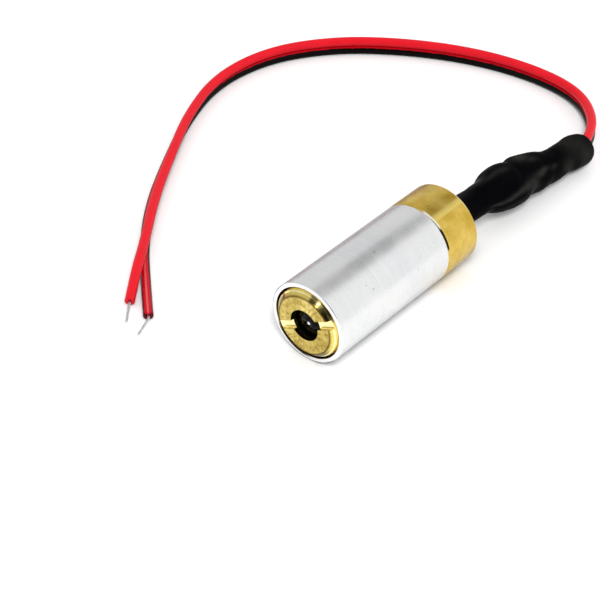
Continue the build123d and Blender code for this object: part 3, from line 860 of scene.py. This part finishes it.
def spline_points(route, resolution):
    """Points along the smooth spline of a route, read from a curve with no bevel."""
    curve = bpy.data.curves.new("route", "CURVE")
    curve.dimensions = "3D"
    curve.resolution_u = resolution
    spline = curve.splines.new("NURBS")
    spline.points.add(len(route) - 1)
    for point, place in zip(spline.points, route):
        point.co = (*place, 1.0)
    spline.order_u = min(3, len(route))
    spline.use_endpoint_u = True
    holder = add_object("route", curve)
    bpy.context.view_layer.update()
    mesh = bpy.data.meshes.new_from_object(holder.evaluated_get(bpy.context.evaluated_depsgraph_get()))
    path = []
    for vertex in mesh.vertices:
        if not path or (vertex.co - path[-1]).length > 0.02 * MM:
            path.append(vertex.co.copy())
    bpy.data.objects.remove(holder)
    bpy.data.curves.remove(curve)
    bpy.data.meshes.remove(mesh)
    return path


def upright_frames(path):
    """Tangent, side and up directions along a path that is never vertical."""
    frames = []
    for index in range(len(path)):
        before = path[max(index - 1, 0)]
        after = path[min(index + 1, len(path) - 1)]
        along = (after - before).normalized()
        side = along.cross(Vector((0, 0, 1))).normalized()
        frames.append((along, side, side.cross(along)))
    return frames


def distances(path):
    """Millimetres travelled at each point of a path in metres."""
    run = [0.0]
    for before, after in zip(path, path[1:]):
        run.append(run[-1] + (after - before).length / MM)
    return run


LEAD_RADIUS = 0.725
WEB_RISE = 0.07

# Rings of a lead's cut end, from its rounded edge into its hole: share of the radius, distance ahead
CUT_END = [(0.985, 0.035), (0.94, 0.075), (0.86, 0.10), (0.42, 0.11), (0.36, 0.06), (0.34, -0.35)]


def lead_mesh(name, path, web_angle):
    """Insulation of one lead in metres, with the torn web on one side and a cut end with a hole."""
    angles = ring_angles(40)
    frames = upright_frames(path)
    run = distances(path)
    last = len(path) - 1
    stations = [(index, 1.0, 0.0) for index in range(len(path))] + [(last, *ring) for ring in CUT_END]
    points = []
    tops = []
    to_end = []
    for index, share, ahead in stations:
        along, side, up = frames[index]
        centre = path[index] + along * (ahead * MM)
        torn = 0.6 + 0.7 * noise.noise(Vector((run[index] * 0.9, web_angle, 3.0)))
        for angle in angles:
            radius = LEAD_RADIUS + WEB_RISE * torn * hump(turned(degrees(angle), web_angle), 13)
            points.append(centre + (side * cos(angle) + up * sin(angle)) * (radius * share * MM))
            tops.append(sin(angle))
            to_end.append(run[-1] - run[index])
    mesh = make_tubes(name, points, tube_faces(len(stations), len(angles)))
    mesh.attributes.new("top", "FLOAT", "POINT").data.foreach_set("value", tops)
    mesh.attributes.new("to_end", "FLOAT", "POINT").data.foreach_set("value", to_end)
    return mesh


def strands_mesh(name, routes):
    """Seven twisted strands along each route, in metres: six round a middle one."""
    twist_length = 4.2
    strand = 0.07
    angles = ring_angles(10)
    points = []
    faces = []
    for route in routes:
        path = spline_points(route, 30)
        frames = upright_frames(path)
        run = distances(path)
        for number in range(7):
            lay = 0.0 if number == 6 else 2 * strand
            faces += tube_faces(len(path), len(angles), len(points))
            for centre, (_, side, up), distance in zip(path, frames, run):
                turn = 2 * pi * (number / 6 + distance / twist_length)
                spread = 1.0 + 0.10 * noise.noise(Vector((number * 7.0, distance * 0.8, 1.0)))
                middle = centre + (side * cos(turn) + up * sin(turn)) * (lay * spread * MM)
                for angle in angles:
                    points.append(middle + (side * cos(angle) + up * sin(angle)) * (strand * MM))
    return make_tubes(name, points, faces)


def insulation_material(name, top_colour, low_colour, edge, end_colour, end_zone, streak=None):
    """Glossy insulation whose upper and lower sides differ in colour, with a torn edge between. In a
    zone before its cut end, in millimetres, the lower side takes another colour, and the top may have
    a painted highlight streak."""
    material, tree, shader = new_material(name)
    top = attribute(tree, "top")
    ragged = level(tree, speckle(tree, 900, 3.0), 0.0, 1.0, -0.12, 0.12)
    on_top = level(tree, compute(tree, "ADD", top, ragged), edge - 0.06, edge + 0.06, smooth=True)
    near_end = level(tree, attribute(tree, "to_end"), end_zone, end_zone / 5)
    if streak:
        # Painted highlight streak along the top, near the cut end
        painted_highlight = compute(tree, "MULTIPLY", level(tree, top, 0.972, 0.99, 0.0, 0.42), near_end)
        top_colour = blended(tree, painted_highlight, top_colour, streak)
    colour = blended(tree, on_top, blended(tree, near_end, low_colour, end_colour), top_colour)
    mottle = speckle(tree, 420, 1.0, 0.4)
    shade = ramp(tree, mottle, [(0.2, (0.90, 0.90, 0.90)), (0.8, (1.0, 1.0, 1.0))])
    colour = blended(tree, 1.0, colour, shade, "MULTIPLY")
    surface(tree, shader, colour, graded(tree, mottle, 0.26, 0.36))
    shader.inputs["Specular IOR Level"].default_value = 0.10
    return material


def tinned_material():
    """Tinned copper strands: grey, with copper showing through here and there."""
    material, tree, shader = new_material("tinned_strands")
    worn = speckle(tree, 2200, 3.0)
    colour = ramp(
        tree, worn, [(0.3, (0.62, 0.61, 0.63)), (0.64, (0.88, 0.87, 0.88)), (0.74, (0.78, 0.62, 0.52))]
    )
    surface(tree, shader, colour, graded(tree, worn, 0.28, 0.42), True)
    return material


tinned = tinned_material()
red_pvc = insulation_material(
    "red_pvc", (0.79, 0.012, 0.024), (0.45, 0.008, 0.008), -0.92, (0.30, 0.002, 0.006), 1.3
)
black_pvc = insulation_material(
    "black_pvc",
    (0.56, 0.003, 0.012),
    (0.0030, 0.0018, 0.0018),
    0.72,
    (0.11, 0.002, 0.006),
    22.0,
    # Colour of the painted highlight streak
    (1.0, 0.22, 0.22),
)
for colour_name, route, tip, joint, web_angle, length, pvc in (
    ("red", RED_ROUTE, RED_TIP, RED_JOINT, -90.0, 0.1468, red_pvc),
    ("black", BLACK_ROUTE, BLACK_TIP, BLACK_JOINT, 90.0, 0.1500, black_pvc),
):
    path = spline_points(route, 20)
    wire_name = f"{colour_name}_wire"
    strands_name = f"{colour_name}_strands"
    lead = add_piece(
        wire_name,
        lead_mesh(wire_name, path, web_angle),
        "housing",
        f"{colour_name}_lead",
        pvc,
    )
    strands = add_piece(
        strands_name,
        strands_mesh(strands_name, [tip, joint]),
        "housing",
        f"{colour_name}_lead_core",
        tinned,
    )


# Inner CAD nodes keep their shape and get their own finish
def plain_finish(name, dark, pale, roughness, scale, metal=False):
    """Finely uneven surface. Pale places are smoother on metal, and rougher on what was moulded or
    fired."""
    material, tree, shader = new_material(name)
    grain = speckle(tree, scale)
    spread = -0.06 if metal else 0.05
    rough = graded(tree, grain, roughness - spread, roughness + spread)
    surface(tree, shader, two_tone(tree, grain, dark, pale), rough, metal)
    bumped(tree, shader, grain, 0.00001, 0.3 if metal else 0.4)
    return material


# Dark and pale colour, roughness, scale of the grain
METALS = {
    "inner_brass": ((0.58, 0.40, 0.10), (0.76, 0.57, 0.20), 0.30, 700),
    "black_brass": ((0.012, 0.012, 0.012), (0.035, 0.033, 0.03), 0.45, 900),
    "spring_steel": ((0.42, 0.42, 0.43), (0.62, 0.62, 0.63), 0.25, 1500),
    "gold_plate": ((0.80, 0.58, 0.22), (0.95, 0.74, 0.33), 0.20, 1200),
    "nickel_plate": ((0.50, 0.49, 0.46), (0.66, 0.65, 0.61), 0.22, 900),
    "copper": ((0.72, 0.33, 0.20), (0.93, 0.50, 0.34), 0.25, 1200),
    "solder": ((0.52, 0.52, 0.53), (0.74, 0.74, 0.74), 0.25, 1800),
}
MOULDED = {
    "seal_glass": ((0.02, 0.03, 0.05), (0.05, 0.07, 0.10), 0.15, 1500),
    "semiconductor": ((0.06, 0.06, 0.07), (0.12, 0.12, 0.14), 0.18, 3000),
    "board_laminate": ((0.010, 0.10, 0.035), (0.02, 0.17, 0.06), 0.38, 1600),
    "tantalum_case": ((0.72, 0.42, 0.05), (0.84, 0.53, 0.09), 0.42, 1300),
    "black_epoxy": ((0.012, 0.012, 0.012), (0.03, 0.03, 0.03), 0.50, 2600),
    "chip_ceramic": ((0.40, 0.33, 0.25), (0.55, 0.47, 0.37), 0.45, 2400),
    "wire_jacket": ((0.03, 0.03, 0.03), (0.06, 0.055, 0.05), 0.35, 1500),
}

# Colour, roughness, index of refraction
GLASSES = {
    "clear_glass": ((0.93, 0.96, 0.95), 0.02, 1.50),
    "pump_crystal": ((0.78, 0.62, 0.86), 0.03, 1.96),
    "doubling_glass": ((0.90, 0.95, 0.93), 0.02, 1.75),
    "filter_glass": ((0.45, 0.85, 0.72), 0.03, 1.52),
}
finishes = {name: plain_finish(name, *values, metal=True) for name, values in METALS.items()}
finishes |= {name: plain_finish(name, *values) for name, values in MOULDED.items()}
finishes |= {name: glass_material(name, *values) for name, values in GLASSES.items()}
for node_name, finish in {
    "lens_retainer": "black_brass",
    "diode_header": "gold_plate",
    "pin_seals": "seal_glass",
    "diode_pins": "gold_plate",
    "diode_cap": "nickel_plate",
    "diode_window": "clear_glass",
    "diode_mount_block": "copper",
    "diode_chip": "semiconductor",
    "crystal_holder": "inner_brass",
    "laser_crystal": "pump_crystal",
    "doubling_crystal": "doubling_glass",
    "infrared_filter": "filter_glass",
    "expander_lens": "clear_glass",
    "driver_board": "board_laminate",
    "storage_capacitor": "tantalum_case",
    "power_transistor": "black_epoxy",
    "control_chip": "black_epoxy",
    "chip_resistors": "chip_ceramic",
    "chip_capacitor": "chip_ceramic",
    "pin_solder": "solder",
    "hookup_wires": "wire_jacket",
    "board_solder": "solder",
}.items():
    give(nodes[node_name], finishes[finish])


# Focusing spring: a piece of its own, a coil drawn to fill the CAD spring's box. The real spring
# shortens and lengthens between the heat sink, where it stays, and the cell
def spring_mesh(name, low, high):
    """Compression spring along Y between two corners in millimetres, with a closed turn at each end."""
    wire = 0.25
    turns = 6.2
    steps_per_turn = 40
    angles = ring_angles(12)
    coil = (high[0] - low[0]) / 2 - wire
    closed_pitch = 2 * wire + 0.02
    closed_turns = 0.7
    opening_turns = 0.6
    places = np.linspace(0.0, turns, int(turns * steps_per_turn) + 1)
    opened = np.clip((np.minimum(places, turns - places) - closed_turns) / opening_turns, 0.0, 1.0)
    opened = opened**2 * (3 - 2 * opened)
    gained = np.concatenate([[0.0], np.cumsum(opened[1:] + opened[:-1])])
    rise = high[1] - low[1] - 2 * wire - closed_pitch * turns
    heights = low[1] + wire + closed_pitch * places + rise * gained / gained[-1]
    points = []
    for turn, height in zip(2 * pi * places, heights):
        for angle in angles:
            radius = coil + wire * cos(angle)
            points.append((radius * cos(turn), height + wire * sin(angle), radius * sin(turn)))
    return make_mesh(name, points, tube_faces(len(places), len(angles)), 60.0)


spring_low, spring_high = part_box("focus_spring")
spring_corners = [[value / MM for value in corner] for corner in (spring_low, spring_high)]
spring = add_object("focus_spring_coil", spring_mesh("focus_spring_coil", *spring_corners))
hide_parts("focus_spring")
give(spring, finishes["spring_steel"])
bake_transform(spring)


def floor_material():
    """White floor that takes the shadows, whiter to the camera, in metal and through glass. Metal and
    glass see painted shade on it behind the cell's face, towards the leads and within the barrel's
    width, and a painted shadow darkens all of it under the barrel."""
    material, tree, shader = new_material("floor")
    x, y, _ = apart(tree, place_on(tree))
    from_barrel = compute(tree, "ABSOLUTE", x, 0.0)
    ray = node(tree, "ShaderNodeLightPath").outputs
    in_view = compute(tree, "MULTIPLY", ray["Is Camera Ray"], 0.32)
    reflected = compute(tree, "MAXIMUM", ray["Is Glossy Ray"], ray["Is Transmission Ray"])
    # Painted shade that only metal and glass see
    behind_front = level(tree, y, -13.0, -8.0)
    at_leads = level(tree, x, -24.0, -8.0, 0.50, 0.0)
    at_barrel = level(tree, from_barrel, 5.6, 7.0, 0.17, 0.0, True)
    dimmer = compute(tree, "MULTIPLY", behind_front, compute(tree, "ADD", 0.24, at_leads, at_barrel))
    reflected = compute(tree, "MULTIPLY", reflected, compute(tree, "SUBTRACT", 0.48, dimmer))
    # Painted contact shadow on the floor under the barrel
    under = level(tree, from_barrel, 2.2, 5.0, 0.36, 0.0, True)
    front_end = level(tree, y, -11.5, -9.5, smooth=True)
    rear_end = level(tree, y, 19.0, 25.0, 1.0, 0.0, True)
    lit = compute(tree, "SUBTRACT", 1.0, compute(tree, "MULTIPLY", under, front_end, rear_end))
    whiteness = compute(tree, "MULTIPLY", compute(tree, "ADD", in_view, reflected, 0.74), lit)
    surface(tree, shader, whiteness, 1.0)
    shader.inputs["Specular IOR Level"].default_value = 0.0
    return material


FLOOR = -0.006
floor_corners = [(x, y, FLOOR) for x, y in ((-3, -3), (3, -3), (3, 3), (-3, 3))]
floor = add_object("floor", raw_mesh("floor", floor_corners, [(0, 1, 2, 3)]))
give(floor, floor_material())


def light_tent():
    """World: a white tent, dimmer on the left, with a soft gap overhead at the rear, the dark of the
    camera's side, and plain white behind everything in view."""
    world = bpy.data.worlds.new("studio")
    bpy.context.scene.world = world
    world.use_nodes = True
    tree = world.node_tree
    direction = node(tree, "ShaderNodeTexCoord").outputs["Generated"]

    def dark(towards, full, none, share):
        zone = within(tree, direction, Vector(towards).normalized(), full, none)
        return compute(tree, "MULTIPLY", zone, share)

    gap = dark((-0.05, 0.59, 0.81), 4, 22, 0.50)
    camera_side = compute(
        tree,
        "MAXIMUM",
        dark((0.42, -0.86, 0.22), 16, 30, 0.96),
        dark((0.51, -0.59, 0.63), 16, 34, 0.96),
        dark((-0.165, -0.81, 0.556), 6, 11, 0.88),
    )
    tent = level(tree, apart(tree, direction)[0], -0.5, 0.5, 0.78, 1.02, True)
    for shade in (gap, camera_side):
        tent = compute(tree, "MULTIPLY", tent, compute(tree, "SUBTRACT", 1.0, shade))
    in_view = node(tree, "ShaderNodeLightPath").outputs["Is Camera Ray"]
    strength = node(tree, "ShaderNodeMix", {0: in_view, 2: tent, 3: 1.0}, data_type="FLOAT").outputs[0]
    background = tree.nodes["Background"]
    background.inputs["Color"].default_value = (1.0, 1.0, 1.0, 1.0)
    feed(tree, background.inputs["Strength"], strength)


def lamp(name, direction, distance, size, power, in_reflections):
    """Round area lamp that faces the object from a direction."""
    data = bpy.data.lights.new(name, "AREA")
    data.shape = "DISK"
    data.size = size
    data.energy = power
    away = Vector(direction).normalized()
    made = add_object(name, data)
    made.location = away * distance
    made.rotation_mode = "QUATERNION"
    made.rotation_quaternion = away.to_track_quat("Z", "Y")
    made.visible_glossy = in_reflections


light_tent()
lamp("key", (0.46, -0.46, 0.76), 0.6, 0.18, 2.2, False)
lamp("glint", (0.045, -0.85, 0.52), 0.5, 0.024, 0.03, True)
